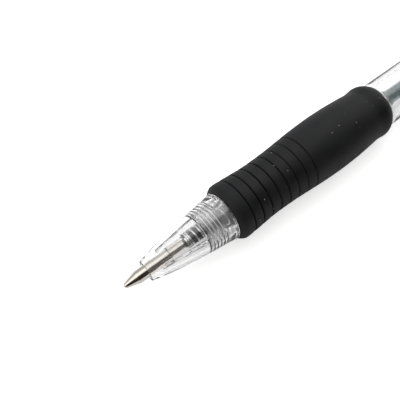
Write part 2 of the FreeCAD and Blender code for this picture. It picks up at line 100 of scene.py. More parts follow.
def outlineWire(bm, outline, closed=True):
    # corners may carry a third number, the radius that rounds them
    verts = [bm.verts.new((point[0] * mm, 0, point[1] * mm)) for point in outline]
    pairs = list(zip(verts, verts[1:]))
    if closed:
        pairs.append((verts[-1], verts[0]))
    for pair in pairs:
        bm.edges.new(pair)
    rounds = {}
    for vert, point in zip(verts, outline):
        if len(point) > 2:
            rounds.setdefault(point[2], []).append(vert)
    for radius, corners in rounds.items():
        bmesh.ops.bevel(bm, geom=corners, offset=radius * mm, offset_type="OFFSET", segments=5,
                        profile=0.5, affect="VERTICES", clamp_overlap=True, material=-1)


def spinRound(bm, steps=96):
    bmesh.ops.spin(bm, geom=bm.verts[:] + bm.edges[:], cent=(0, 0, 0), axis=(1, 0, 0),
                   dvec=(0, 0, 0), angle=math.tau, steps=steps, use_merge=True,
                   use_duplicate=False)


def pullOut(bm, width):
    # a flat outline made a plate, half its width on each side of the pen's axis
    bmesh.ops.translate(bm, verts=bm.verts, vec=(0, -width / 2 * mm, 0))
    face = bmesh.ops.contextual_create(bm, geom=bm.edges)["faces"]
    pushed = bmesh.ops.extrude_face_region(bm, geom=face)
    moved = [item for item in pushed["geom"] if isinstance(item, bmesh.types.BMVert)]
    bmesh.ops.translate(bm, verts=moved, vec=(0, width * mm, 0))


def lathe(name, outline, closed=True, steps=96, creaseAngle=32):
    bm = bmesh.new()
    outlineWire(bm, outline, closed)
    spinRound(bm, steps)
    return finishMesh(bm, name, creaseAngle)


def smoothLine(keys, spacing=0.4):
    # a Catmull-Rom curve through the key points, (along, out)
    points = []
    for n in range(len(keys) - 1):
        before, start = keys[max(n - 1, 0)], keys[n]
        end, after = keys[n + 1], keys[min(n + 2, len(keys) - 1)]
        count = max(2, round(math.dist(start, end) / spacing))
        for k in range(count):
            share = k / count
            points.append(tuple(
                0.5 * (2 * b + (c - a) * share + (2 * a - 5 * b + 4 * c - d) * share ** 2
                       + (3 * b - a - 3 * c + d) * share ** 3)
                for a, b, c, d in zip(before, start, end, after)))
    return points + [tuple(keys[-1])]


def coilSpring(bm, start, coilRadius, wireRadius, stretches, sides=12, stepsPerTurn=32):
    # a wire's ring spun forwards in stretches of (turns, pitch), all in mm
    bmesh.ops.create_circle(bm, cap_ends=False, segments=sides, radius=wireRadius * mm)
    upright = Matrix.Rotation(math.pi / 2, 3, "X")
    bmesh.ops.rotate(bm, verts=bm.verts, cent=(0, 0, 0), matrix=upright)
    bmesh.ops.translate(bm, verts=bm.verts, vec=(start * mm, 0, coilRadius * mm))
    geom = bm.verts[:] + bm.edges[:]
    for turns, pitch in stretches:
        steps = round(turns * stepsPerTurn)
        spun = bmesh.ops.spin(bm, geom=geom, cent=(0, 0, 0), axis=(1, 0, 0),
                              dvec=(pitch * mm / stepsPerTurn, 0, 0), angle=math.tau * turns,
                              steps=steps, use_merge=False, use_duplicate=False)
        geom = spun["geom_last"]
    openEnds = [edge for edge in bm.edges if len(edge.link_faces) == 1]
    bmesh.ops.holes_fill(bm, edges=openEnds, sides=sides)


def joined(target, extras):
    # a boolean union with other pieces, applied straight away
    for extra in extras:
        modifier = target.modifiers.new("join", "BOOLEAN")
        modifier.object = extra
        modifier.operation = "UNION"
        modifier.solver = "EXACT"
    graph = bpy.context.evaluated_depsgraph_get()
    mesh = bpy.data.meshes.new_from_object(target.evaluated_get(graph))
    target.modifiers.clear()
    target.data = mesh
    for extra in extras:
        bpy.data.objects.remove(extra)
    return target


def creased(piece, creaseAngle=32):
    # shading for a mesh that a boolean has cut
    bm = bmesh.new()
    bm.from_mesh(piece.data)
    bmesh.ops.dissolve_degenerate(bm, edges=bm.edges, dist=0.0004 * mm)
    for face in bm.faces:
        face.smooth = True
    for edge in bm.edges:
        sharp = len(edge.link_faces) == 2 and edge.calc_face_angle(0) > math.radians(creaseAngle)
        edge.smooth = not sharp
    bm.to_mesh(piece.data)
    bm.free()
    return piece


# ---- material helpers
def newMaterial(name):
    material = bpy.data.materials.new(name)
    material.use_nodes = True
    tree = material.node_tree
    return material, tree.nodes, tree.links, tree.nodes["Principled BSDF"]


def noise(nodes, links, scale, detail=3.0, stretch=(1, 1, 1)):
    # object-space noise, scale in lumps per metre along each axis
    coords = nodes.new("ShaderNodeTexCoord")
    mapping = nodes.new("ShaderNodeMapping")
    mapping.inputs["Scale"].default_value = stretch
    texture = nodes.new("ShaderNodeTexNoise")
    texture.inputs["Scale"].default_value = scale
    texture.inputs["Detail"].default_value = detail
    links.new(coords.outputs["Object"], mapping.inputs["Vector"])
    links.new(mapping.outputs["Vector"], texture.inputs["Vector"])
    return texture.outputs["Fac"]


def ramp(nodes, links, source, stops):
    node = nodes.new("ShaderNodeValToRGB")
    elements = node.color_ramp.elements
    while len(elements) < len(stops):
        elements.new(0.5)
    for element, (place, colour) in zip(elements, stops):
        element.position = place
        element.color = (*colour, 1)
    links.new(source, node.inputs["Fac"])
    return node.outputs["Color"]


def bump(nodes, links, height, relief, under=None):
    # relief is a depth in mm and a strength, and under a coarser bump that this one lies on
    distance, strength = relief
    node = nodes.new("ShaderNodeBump")
    node.inputs["Strength"].default_value = strength
    node.inputs["Distance"].default_value = distance * mm
    links.new(height, node.inputs["Height"])
    if under:
        links.new(under, node.inputs["Normal"])
    return node.outputs["Normal"]


def letLightThrough(material, passed):
    # rays on their way to a lamp meet a plain tinted film, so that clear parts don't go dark
    tree = material.node_tree
    nodes, links = tree.nodes, tree.links
    film = nodes.new("ShaderNodeBsdfTransparent")
    film.inputs["Color"].default_value = (*passed, 1)
    path = nodes.new("ShaderNodeLightPath")
    mix = nodes.new("ShaderNodeMixShader")
    links.new(path.outputs["Is Shadow Ray"], mix.inputs["Fac"])
    links.new(nodes["Principled BSDF"].outputs["BSDF"], mix.inputs[1])
    links.new(film.outputs["BSDF"], mix.inputs[2])
    links.new(mix.outputs["Shader"], nodes["Material Output"].inputs["Surface"])


# ---- materials
# scales are in lumps per metre, a relief is a depth in mm and a strength
steelLook = {"tone": (0.74, 0.70, 0.64), "roughness": (0.12, 0.2), "lineScale": 6000,
             "lineStretch": (1, 0.02, 0.02), "lineRelief": (0.004, 0.35)}
springLook = {"tone": (0.82, 0.82, 0.82), "roughness": (0.18, 0.30), "grainScale": 4000}
rubberLook = {"tone": (0.0055, 0.0059, 0.0071), "worn": (0.0094, 0.01, 0.0116),
              "roughness": (0.5, 0.66), "shine": 0.27, "patchScale": 180, "patchRelief": (0.05, 0.25),
              "fineScale": 9000, "fineRelief": (0.012, 0.5), "dust": (0.35, 0.35, 0.34),
              "dustScale": 760, "dustSize": (0.05, 0.1), "dustyScale": 330, "dustyAbove": (0.55, 0.62)}
clearLook = {"tone": (0.95, 0.952, 0.958), "roughness": 0.015, "ior": 1.49, "clarity": 0.985,
             "passed": (0.86, 0.86, 0.865), "flowScale": 260, "flowStretch": (0.4, 1, 1),
             "flowRelief": (0.004, 0.3)}
# the refill's plastics, which differ in tint, roughness and clarity
refillLook = {"ior": 1.49, "passed": (0.75, 0.76, 0.77), "cloudScale": 900}
frostLook = {"tone": (0.86, 0.86, 0.84), "roughness": (0.25, 0.35), "clarity": 0.76}
tubeLook = {"tone": (0.32, 0.385, 0.385), "roughness": (0.05, 0.15), "clarity": 0.99}
holderLook = {"tone": (0.97, 0.97, 0.96), "roughness": (0.03, 0.13), "clarity": 0.97}
inkLook = {"tone": (0.004, 0.004, 0.006), "roughness": (0.08, 0.16), "waveScale": 700}
blackLook = {"tone": (0.012, 0.012, 0.013), "roughness": (0.22, 0.34)}
whiteLook = {"tone": (0.78, 0.78, 0.76), "roughness": (0.38, 0.5)}
mouldLook = {"lighter": 1.25, "hazeScale": 220, "textureScale": 7000, "textureRelief": (0.006, 0.3)}
# millimetres from the axis, roughness, clarity: the ridges of the thread are the haziest
threadHaze = [(3.2, 0.02, 0.93), (3.35, 0.02, 0.93), (3.39, 0.15, 0.1), (3.44, 0.15, 0.1),
              (3.5, 0.02, 0.86), (3.63, 0.02, 0.86), (3.68, 0.015, 0.985)]


def roughnessRange(nodes, links, shader, source, limits):
    # spreads the middle of a noise over the two roughness limits
    low, high = limits
    spread = nodes.new("ShaderNodeMapRange")
    spread.inputs["From Min"].default_value = 0.3
    spread.inputs["From Max"].default_value = 0.7
    spread.inputs["To Min"].default_value = low
    spread.inputs["To Max"].default_value = high
    links.new(source, spread.inputs["Value"])
    links.new(spread.outputs["Result"], shader.inputs["Roughness"])


def steelMaterial():
    material, nodes, links, shader = newMaterial("turned_steel")
    shader.inputs["Base Color"].default_value = (*steelLook["tone"], 1)
    shader.inputs["Metallic"].default_value = 1
    # fine turning lines run round the point, so the noise is short along X and long across
    lines = noise(nodes, links, steelLook["lineScale"], 2, steelLook["lineStretch"])
    roughnessRange(nodes, links, shader, lines, steelLook["roughness"])
    links.new(bump(nodes, links, lines, steelLook["lineRelief"]), shader.inputs["Normal"])
    return material


def springMaterial():
    material, nodes, links, shader = newMaterial("drawn_wire")
    shader.inputs["Base Color"].default_value = (*springLook["tone"], 1)
    shader.inputs["Metallic"].default_value = 1
    grain = noise(nodes, links, springLook["grainScale"], 2)
    roughnessRange(nodes, links, shader, grain, springLook["roughness"])
    return material


def rubberMaterial():
    material, nodes, links, shader = newMaterial("grip_rubber")
    look = rubberLook
    black, white = (0, 0, 0), (1, 1, 1)
    shader.inputs["Specular IOR Level"].default_value = look["shine"]
    patches = noise(nodes, links, look["patchScale"], 4)
    body = ramp(nodes, links, patches, [(0.35, look["tone"]), (0.7, look["worn"])])
    # a few pale dust specks: small dots, in the dusty places only
    coords = nodes.new("ShaderNodeTexCoord")
    cells = nodes.new("ShaderNodeTexVoronoi")
    cells.inputs["Scale"].default_value = look["dustScale"]
    cells.inputs["Randomness"].default_value = 1
    links.new(coords.outputs["Object"], cells.inputs["Vector"])
    core, rim = look["dustSize"]
    speck = ramp(nodes, links, cells.outputs["Distance"], [(core, white), (rim, black)])
    clean, dusty = look["dustyAbove"]
    places = noise(nodes, links, look["dustyScale"], 2)
    rare = ramp(nodes, links, places, [(clean, black), (dusty, white)])
    both = nodes.new("ShaderNodeMath")
    both.operation = "MULTIPLY"
    links.new(speck, both.inputs[0])
    links.new(rare, both.inputs[1])
    dusted = nodes.new("ShaderNodeMix")
    dusted.data_type = "RGBA"
    dusted.inputs["B"].default_value = (*look["dust"], 1)
    links.new(both.outputs["Value"], dusted.inputs["Factor"])
    links.new(body, dusted.inputs["A"])
    links.new(dusted.outputs["Result"], shader.inputs["Base Color"])
    roughnessRange(nodes, links, shader, patches, look["roughness"])
    fine = noise(nodes, links, look["fineScale"], 3)
    soft = bump(nodes, links, patches, look["patchRelief"])
    links.new(bump(nodes, links, fine, look["fineRelief"], soft), shader.inputs["Normal"])
    return material


def clearMaterial(name, hazeByRadius=None):
    # clear plastic, hazier at the distances from the pen's axis that the list gives
    material, nodes, links, shader = newMaterial(name)
    shader.inputs["Base Color"].default_value = (*clearLook["tone"], 1)
    shader.inputs["Roughness"].default_value = clearLook["roughness"]
    shader.inputs["IOR"].default_value = clearLook["ior"]
    shader.inputs["Transmission Weight"].default_value = clearLook["clarity"]
    flow = noise(nodes, links, clearLook["flowScale"], 2, clearLook["flowStretch"])
    links.new(bump(nodes, links, flow, clearLook["flowRelief"]), shader.inputs["Normal"])
    if hazeByRadius:
        coords = nodes.new("ShaderNodeTexCoord")
        centred = nodes.new("ShaderNodeVectorMath")
        centred.operation = "SUBTRACT"
        centred.inputs[1].default_value = (0, penY, penZ)
        links.new(coords.outputs["Object"], centred.inputs[0])
        across = nodes.new("ShaderNodeVectorMath")
        across.operation = "MULTIPLY"
        across.inputs[1].default_value = (0, 1, 1)
        links.new(centred.outputs["Vector"], across.inputs[0])
        radius = nodes.new("ShaderNodeVectorMath")
        radius.operation = "LENGTH"
        links.new(across.outputs["Vector"], radius.inputs[0])
        spread = nodes.new("ShaderNodeMapRange")
        low, high = hazeByRadius[0][0], hazeByRadius[-1][0]
        spread.inputs["From Min"].default_value = low * mm
        spread.inputs["From Max"].default_value = high * mm
        links.new(radius.outputs["Value"], spread.inputs["Value"])
        for socket, column in (("Roughness", 1), ("Transmission Weight", 2)):
            grey = ramp(nodes, links, spread.outputs["Result"], [
                ((row[0] - low) / (high - low), (row[column],) * 3) for row in hazeByRadius])
            links.new(grey, shader.inputs[socket])
    letLightThrough(material, clearLook["passed"])
    return material


def refillMaterial(name, look):
    material, nodes, links, shader = newMaterial(name)
    shader.inputs["Base Color"].default_value = (*look["tone"], 1)
    shader.inputs["IOR"].default_value = refillLook["ior"]
    shader.inputs["Transmission Weight"].default_value = look["clarity"]
    cloud = noise(nodes, links, refillLook["cloudScale"], 3)
    roughnessRange(nodes, links, shader, cloud, look["roughness"])
    letLightThrough(material, refillLook["passed"])
    return material


def inkMaterial():
    material, nodes, links, shader = newMaterial("gel_ink")
    shader.inputs["Base Color"].default_value = (*inkLook["tone"], 1)
    wave = noise(nodes, links, inkLook["waveScale"], 2)
    roughnessRange(nodes, links, shader, wave, inkLook["roughness"])
    return material


def mouldedMaterial(name, look):
    material, nodes, links, shader = newMaterial(name)
    tone = look["tone"]
    haze = noise(nodes, links, mouldLook["hazeScale"], 3)
    lighter = tuple(value * mouldLook["lighter"] for value in tone)
    links.new(ramp(nodes, links, haze, [(0.3, tone), (0.75, lighter)]), shader.inputs["Base Color"])
    roughnessRange(nodes, links, shader, haze, look["roughness"])
    texture = noise(nodes, links, mouldLook["textureScale"], 2)
    links.new(bump(nodes, links, texture, mouldLook["textureRelief"]), shader.inputs["Normal"])
    return material


steel = steelMaterial()
springSteel = springMaterial()
rubber = rubberMaterial()
clear = clearMaterial("clear_plastic")
threadClear = clearMaterial("clear_plastic_thread", threadHaze)
frost = refillMaterial("frosted_plastic", frostLook)
refillPlastic = refillMaterial("refill_plastic", tubeLook)
holderPlastic = refillMaterial("holder_plastic", holderLook)
inkBlack = inkMaterial()
blackPlastic = mouldedMaterial("black_plastic", blackLook)
whitePlastic = mouldedMaterial("white_acetal", whiteLook)
print("materials ready")


def dress(piece, material, body=None, node=None):
    # a finish for a new piece, and what it rides on and stands for
    piece.data.materials.clear()
    piece.data.materials.append(material)
    if body:
        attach(piece, body)
    if node:
        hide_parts(node)
    return piece


# ---- the writing point
pointSize = {"lipAt": 0.22, "lipRadius": 0.43, "lipWall": 0.005, "crimpAt": 0.58,
             "crimpRadius": 0.57, "coneEnd": 2.35, "coneRadius": 1.03, "shoulder": 0.22,
             "radius": 1.15, "shankEnd": alongAt("tip_holder"), "stemRadius": 0.8,
             "stemEnd": alongAt("point_housing", 1), "bore": 0.5, "throat": 0.2, "funnel": 0.4,
             "throatAt": 0.66, "ledgeAt": 0.55, "ledgeRadius": 0.31, "ballRadius": 0.35,
             "ballGap": 0.02}


def writingPoint():
    s = pointSize
    # the lip closes over the ball, whose seat is a little wider than the ball itself
    seat = s["ballRadius"] + s["ballGap"]
    lipMouth = math.sqrt(seat ** 2 - (s["ballRadius"] - s["lipAt"]) ** 2)
    housing = lathe("steel_point", [
        (s["lipAt"], lipMouth + s["lipWall"]),
        (s["lipAt"], s["lipRadius"], 0.04),
        (s["crimpAt"], s["crimpRadius"], 0.08),
        (s["coneEnd"], s["coneRadius"], 0.25),
        (s["coneEnd"] + s["shoulder"], s["radius"], 0.12),
        (s["shankEnd"], s["radius"], 0.06),
        (s["shankEnd"], s["stemRadius"]),
        (s["stemEnd"], s["stemRadius"]),
        (s["stemEnd"], s["bore"]),
        (s["coneEnd"], s["bore"]),
        (s["coneEnd"] - s["funnel"], s["throat"]),
        (s["throatAt"], s["throat"]),
        (s["ledgeAt"], s["ledgeRadius"]),
        (s["ballRadius"], seat),
    ])
    dress(housing, steel, "refill", "point_housing")
    bm = bmesh.new()
    bmesh.ops.create_uvsphere(bm, u_segments=48, v_segments=24, radius=s["ballRadius"] * mm)
    bmesh.ops.translate(bm, verts=bm.verts, vec=(s["ballRadius"] * mm, 0, 0))
    dress(finishMesh(bm, "ball"), steel, "ball", "writing_ball")


writingPoint()
print("writing point made")


# ---- the refill
refillSize = {"holderRadius": 1.45, "holderBore": 0.8, "plugRadius": 1.13, "inkInHolder": 0.78,
              "tubeRadius": 1.5, "tubeBore": 1.15, "stopAt": 20.8, "stopWidth": 1.3,
              "stopRadius": 2.1, "inkDimple": 0.3, "inkGap": 0.05, "ventRadius": 0.3}


def refill():
    s = refillSize
    holderAt, tubeAt, tubeEnd = alongAt("tip_holder"), alongAt("ink_tube"), alongAt("ink_tube", 1)
    plugEnd = alongAt("tip_holder", 1)
    holder = lathe("point_holder", [
        (holderAt, s["holderBore"]),
        (holderAt, s["holderRadius"], 0.15),
        (tubeAt, s["holderRadius"], 0.08),
        (tubeAt, s["plugRadius"]),
        (plugEnd, s["plugRadius"]),
        (plugEnd, s["holderBore"]),
    ], steps=64)
    dress(holder, holderPlastic, "refill", "tip_holder")
    stopAt = tubeAt + s["stopAt"]
    tube = lathe("refill_tube", [
        (tubeAt, s["tubeBore"]),
        (tubeAt, s["tubeRadius"], 0.06),
        (stopAt, s["tubeRadius"]),
        (stopAt, s["stopRadius"], 0.12),
        (stopAt + s["stopWidth"], s["stopRadius"], 0.12),
        (stopAt + s["stopWidth"], s["tubeRadius"]),
        (tubeEnd, s["tubeRadius"], 0.06),
        (tubeEnd, s["tubeBore"]),
    ], steps=64)
    dress(tube, refillPlastic, "refill", "ink_tube")
    inkAt, inkEnd = alongAt("ink"), alongAt("ink", 1)
    column = lathe("ink_column", [
        (inkAt, 0),
        (inkAt, s["inkInHolder"], 0.1),
        (plugEnd + 0.02, s["inkInHolder"]),
        (plugEnd + 0.02, s["plugRadius"], 0.1),
        (inkEnd - 0.35, s["plugRadius"], 0.1),
        (inkEnd, s["inkDimple"]),
        (inkEnd, 0),
    ], closed=False, steps=48)
    dress(column, inkBlack, "refill", "ink")
    followerAt, followerEnd = inkEnd + s["inkGap"], alongAt("ink_follower", 1)
    follower = lathe("grease_plug", [
        (followerAt, 0),
        (followerAt, s["inkDimple"]),
        (followerAt - 0.3, s["plugRadius"] - 0.02, 0.1),
        (followerEnd - 0.5, s["plugRadius"] - 0.02, 0.2),
        (followerEnd, 0),
    ], closed=False, steps=48)
    dress(follower, frost, "refill", "ink_follower")
    tailAt, tailEnd = alongAt("refill_tail"), alongAt("refill_tail", 1)
    tail = lathe("tube_tail", [
        (tailAt, s["ventRadius"]),
        (tailAt, s["plugRadius"], 0.15),
        (tubeEnd, s["plugRadius"]),
        (tubeEnd, s["tubeRadius"], 0.1),
        (tailEnd, s["tubeRadius"], 0.2),
        (tailEnd, s["ventRadius"]),
    ], steps=48)
    dress(tail, whitePlastic, "refill", "refill_tail")


refill()
print("refill made")


# ---- the return spring
springSize = {"coilRadius": 1.79, "wireRadius": 0.17, "endTurns": 2, "endPitch": 0.37,
              "openTurns": 18}


def returnSpring():
    s = springSize
    low, high = alongAt("return_spring"), alongAt("return_spring", 1)
    closedLength = s["wireRadius"] * 2 + s["endTurns"] * s["endPitch"] * 2
    openPitch = (high - low - closedLength) / s["openTurns"]
    ends = (s["endTurns"], s["endPitch"])
    bm = bmesh.new()
    coilSpring(bm, low + s["wireRadius"], s["coilRadius"], s["wireRadius"],
               [ends, (s["openTurns"], openPitch), ends])
    coil = dress(finishMesh(bm, "coil_spring", 60), springSteel, None, "return_spring")
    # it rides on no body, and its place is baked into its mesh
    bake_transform(coil)


returnSpring()
print("spring made")


# ---- the clear nose cone and the barrel, with the screw thread between them
# the cone's bore and the barrel's spigot are plain walls, and the thread is cut into or raised on them
thread = {"pitch": 0.7, "top": 0.05, "flank": 0.24, "ridgeAt": barrelAt + 0.42, "length": 3.1,
          "boreRadius": 3.55, "boreDepth": 0.06, "boreBefore": 0.5, "boreBehind": 0.1,
          "spigotRadius": 3.27, "spigotHeight": 0.14, "spigotBehind": 0.3, "play": 0.1,
          "fade": 0.25, "spacing": 0.05}


def threadHeight(along, angle):
    # 0 in the valley and 1 on the ridge of a right-handed thread, at a place and an angle
    s = thread
    phase = ((along - s["ridgeAt"]) / s["pitch"] - angle / math.tau) % 1.0
    distance = min(phase, 1 - phase) * s["pitch"]
    return min(max((s["top"] + s["flank"] - distance) / s["flank"], 0.0), 1.0)


def cutThread(bm, low, high, valley, ridge, play=0):
    # moves the wall's vertices between two stations in or out to the thread's flanks
    for vert in bm.verts:
        along = vert.co.x / mm
        radius = math.hypot(vert.co.y, vert.co.z) / mm
        if low < along < high and abs(radius - valley) < 0.02:
            angle = math.atan2(vert.co.z, vert.co.y) - math.pi / 2
            fade = min((along - low) / thread["fade"], (high - along) / thread["fade"], 1.0)
            height = threadHeight(along, angle)
            if play:
                height = max(height, threadHeight(along - play, angle),
                             threadHeight(along + play, angle))
            target = valley + (ridge - valley) * height * fade
            vert.co.y *= target / radius
            vert.co.z *= target / radius


def wallStations(low, high, radius):
    # a plain wall with enough rings for the thread
    count = max(1, round((high - low) / thread["spacing"]))
    return [(low + (high - low) * n / count, radius) for n in range(count + 1)]


noseSize = {"frontRadius": 1.93, "frontRound": 0.05, "rearRadius": 4.61, "rearRim": 4.52,
            "endRound": 0.12, "hole": 1.25, "holeLength": 1.2, "flare": 1.0, "cavityFront": 1.75,
            "cavityRear": 3.0, "cavityBehind": 5.5, "pilot": 3.65}
# distance from the mouth and radius
noseKeys = [(0.12, 1.98), (4.3, 2.88), (7.7, 3.42), (11.3, 3.93), (14.9, 4.37)]
ribSize = {"count": 4, "turn": 56.5, "width": 0.5, "root": 0.3, "edge": 0.17, "frontAt": 3.0,
           "frontRadius": 1.62, "stepAt": 7.9, "rearAt": 11.3, "rearRadius": 2.1}


def noseRib(angle):
    s = ribSize
    start = noseSize["holeLength"] + noseSize["flare"]
    cavityLength = noseEnd - noseSize["cavityBehind"] - noseAt - start
    slope = (noseSize["cavityRear"] - noseSize["cavityFront"]) / cavityLength
    base = noseSize["cavityFront"] + s["root"]
    corners = [
        (s["frontAt"], s["frontRadius"]),
        (s["stepAt"], s["frontRadius"], 0.1),
        (s["stepAt"], s["rearRadius"], 0.1),
        (s["rearAt"], s["rearRadius"], 0.5),
        (s["rearAt"], base + slope * (s["rearAt"] - start)),
        (s["frontAt"], base + slope * (s["frontAt"] - start)),
    ]
    bm = bmesh.new()
    outlineWire(bm, [(noseAt + corner[0], *corner[1:]) for corner in corners])
    pullOut(bm, s["width"])
    bmesh.ops.remove_doubles(bm, verts=bm.verts, dist=mergeWithin)
    sharp = [edge for edge in bm.edges if edge.calc_face_angle(0) > math.radians(50)]
    bmesh.ops.bevel(bm, geom=sharp, offset=s["edge"] * mm, offset_type="OFFSET", segments=3,
                    profile=0.5, affect="EDGES", material=-1, clamp_overlap=True)
    turn = Matrix.Rotation(angle, 3, "X")
    bmesh.ops.rotate(bm, verts=bm.verts, cent=(0, 0, 0), matrix=turn)
    return finishMesh(bm, "rib")


def noseCone():
    s = noseSize
    mouth, bore = noseAt, thread["boreRadius"]
    boreAt = barrelAt - thread["boreBefore"]
    boreEnd = barrelAt + thread["length"] + thread["boreBehind"]
    outline = [
        (mouth + s["endRound"], s["hole"]),
        (mouth, s["hole"] + 0.1),
        (mouth, s["frontRadius"] - s["frontRound"]),
        (mouth + 0.03, s["frontRadius"]),
    ]
    outer = [(mouth + along, radius) for along, radius in noseKeys]
    outline += smoothLine(outer + [(noseEnd - s["endRound"], s["rearRadius"])], 0.35)
    outline += [
        (noseEnd, s["rearRim"]),
        (noseEnd, s["pilot"] + 0.1),
        (noseEnd - 0.1, s["pilot"]),
        (boreEnd, s["pilot"]),
    ]
    outline += wallStations(boreAt, boreEnd, bore)[::-1]
    outline += [
        (boreAt, s["cavityRear"], 0.2),
        (mouth + s["holeLength"] + s["flare"], s["cavityFront"], 0.2),
        (mouth + s["holeLength"], s["hole"], 0.1),
    ]
    bm = bmesh.new()
    outlineWire(bm, outline)
    spinRound(bm, 128)
    cutThread(bm, boreAt - 0.01, boreEnd - 0.01, bore, bore + thread["boreDepth"], thread["play"])
    shell = finishMesh(bm, "nose_shell")
    count = ribSize["count"]
    ribs = [noseRib(math.radians(ribSize["turn"] + 360 / count * n)) for n in range(count)]
    shell = creased(joined(shell, ribs))
    dress(shell, clear, "nose", "nose_cone")


barrelSize = {"spigotBore": 2.4, "spigotRadius": 3.6, "seatRadius": 4.13, "seatBore": 3.0,
              "bore": 3.7, "taper": 1.2, "innerRound": 0.4, "edge": 0.1, "gripPlay": 0.1}


def barrel():
    # one clear moulding: threaded spigot, seat under the grip, long body
    s = barrelSize
    spigotEnd = noseEnd
    seatEnd = gripEnd + s["gripPlay"]
    threadEnd = barrelAt + thread["length"] + thread["spigotBehind"]
    valley = thread["spigotRadius"]
    outline = [(barrelAt, s["spigotBore"])]
    outline += wallStations(barrelAt, threadEnd, valley)
    outline += [
        (threadEnd, s["spigotRadius"]),
        (spigotEnd, s["spigotRadius"]),
        (spigotEnd, s["seatRadius"]),
        (seatEnd, s["seatRadius"]),
        (seatEnd, barrelRadius, s["edge"]),
        (barrelEnd, barrelRadius, s["edge"]),
        (barrelEnd, s["bore"]),
        (seatEnd + s["taper"], s["bore"], s["innerRound"]),
        (seatEnd, s["seatBore"], s["innerRound"]),
        (spigotEnd + s["taper"], s["seatBore"], s["innerRound"]),
        (spigotEnd, s["spigotBore"], s["innerRound"]),
    ]
    bm = bmesh.new()
    outlineWire(bm, outline)
    spinRound(bm, 128)
    cutThread(bm, barrelAt + 0.05, threadEnd - 0.05, valley, valley + thread["spigotHeight"])
    dress(finishMesh(bm, "barrel_tube"), threadClear, "barrel", "barrel")


noseCone()
barrel()
print("clear parts made")


# ---- the rubber grip
gripSize = {"bore": 4.16, "endRound": 0.15, "grooveAt": 2.83, "groovePitch": 2.11, "grooveCount": 8,
            "grooveWidth": 0.34, "grooveDepth": 0.34, "lipWidth": 0.16, "lipDrop": 0.035}
# distance from the grip's front and radius
gripKeys = [(0.0, 4.62), (0.35, 5.06), (0.85, 5.37), (1.5, 5.5), (4.3, 5.36), (6.7, 5.2), (9.1, 5.14),
            (13.1, 5.24), (16.2, 5.44), (19.3, 5.65), (22.4, 5.79), (25.2, 5.845), (29.1, 5.75),
            (32.4, 5.54), (34.1, 5.4), (35.1, 5.36), (36.0, 5.46), (36.8, 5.52), (37.5, 5.4),
            (38.2, 5.05), (38.6, 4.6)]


def grip():
    s = gripSize
    line = smoothLine(gripKeys, 0.3)
    grooves = [s["grooveAt"] + s["groovePitch"] * n for n in range(s["grooveCount"])]
    half = s["grooveWidth"] / 2
    reach = half + s["lipWidth"]
    oneSide = [half * 0.6, half, half + 0.05, reach]
    lips = [-lip for lip in oneSide[::-1]] + [0] + oneSide

    def radiusAt(along):
        for (a, low), (b, high) in zip(line, line[1:]):
            if a <= along <= b and b > a:
                return low + (high - low) * (along - a) / (b - a)
        return line[-1][1]

    def cut(away):
        # a slot with soft lips and a round floor
        away = abs(away)
        drop = s["lipDrop"]
        if away >= reach:
            return 0.0
        if away >= half:
            return drop * (reach - away) / s["lipWidth"]
        return drop + (s["grooveDepth"] - drop) * (1 - (away / half) ** 3)

    kept = [p for p in line if all(abs(p[0] - g) > half + 0.2 for g in grooves)]
    kept += [(g + lip, radiusAt(g + lip) - cut(lip)) for g in grooves for lip in lips]
    outline = [(gripAt + along, radius) for along, radius in sorted(kept)]
    outline += [
        (gripAt + gripKeys[-1][0], s["bore"], s["endRound"]),
        (gripAt, s["bore"], s["endRound"]),
    ]
    sleeve = lathe("rubber_grip", outline, steps=128, creaseAngle=60)
    dress(sleeve, rubber, "barrel", "grip")


grip()
print("grip made")


# ---- the collar, the clip and the button
clipSize = {"height": 8.2, "width": 4.6, "thickness": 1.3, "edge": 0.22, "tipThickness": 0.95,
            "beadAt": 3.6, "beadRadius": 1.3, "beadGap": 0.15, "beadRise": 2.1}
# the clip lies beside the pen, dipped until its lower edge is level with the pen's underside
clipCorner = math.hypot(clipSize["height"], clipSize["width"] / 2)
clipDip = math.asin(penZ / mm / clipCorner) - math.atan(clipSize["width"] / 2 / clipSize["height"])
clipTurn = Matrix.Rotation(-math.pi / 2 - clipDip, 3, "X")


def sidePlate(name, corners):
    # a side outline pulled out to the clip's width, its edges rounded, turned to the clip's side
    bm = bmesh.new()
    outlineWire(bm, corners)
    pullOut(bm, clipSize["width"])
    bmesh.ops.recalc_face_normals(bm, faces=bm.faces)
    rims = [edge for edge in bm.edges if abs(edge.verts[0].co.y - edge.verts[1].co.y) < 1e-9]
    bmesh.ops.bevel(bm, geom=rims, offset=clipSize["edge"] * mm, offset_type="OFFSET", segments=4,
                    profile=0.5, affect="EDGES", clamp_overlap=True, material=-1)
    bmesh.ops.rotate(bm, verts=bm.verts, cent=(0, 0, 0), matrix=clipTurn)
    return finishMesh(bm, name)


def clip():
    s = clipSize
    front, rear = alongAt("clip"), alongAt("clip", 1)
    under = s["height"] - s["thickness"]
    bead, beadLow = front + s["beadAt"], barrelRadius + s["beadGap"]
    beadRound, rootRound = s["beadRadius"] * 0.9, s["thickness"] * 0.49
    arm = sidePlate("clip_arm", [
        (front, s["height"] - 0.02, 0.5),
        (front, s["height"] - s["tipThickness"], 0.25),
        (bead - s["beadRadius"], beadLow, beadRound),
        (bead + s["beadRadius"], beadLow, beadRound),
        (bead + s["beadRadius"] * s["beadRise"], under, 1.0),
        (rear, under, rootRound),
        (rear, s["height"], rootRound),
    ])
    dress(arm, blackPlastic, "clip", "clip")


collarSize = {"bore": 2.95, "boreLength": 4.5, "shoulder": 4.2, "play": 0.02, "frontRound": 0.35,
              "rearRound": 1.2, "bossLength": 5.0, "bossFoot": 5.2, "bossInner": 3.7,
              "bossFloor": 1.6}


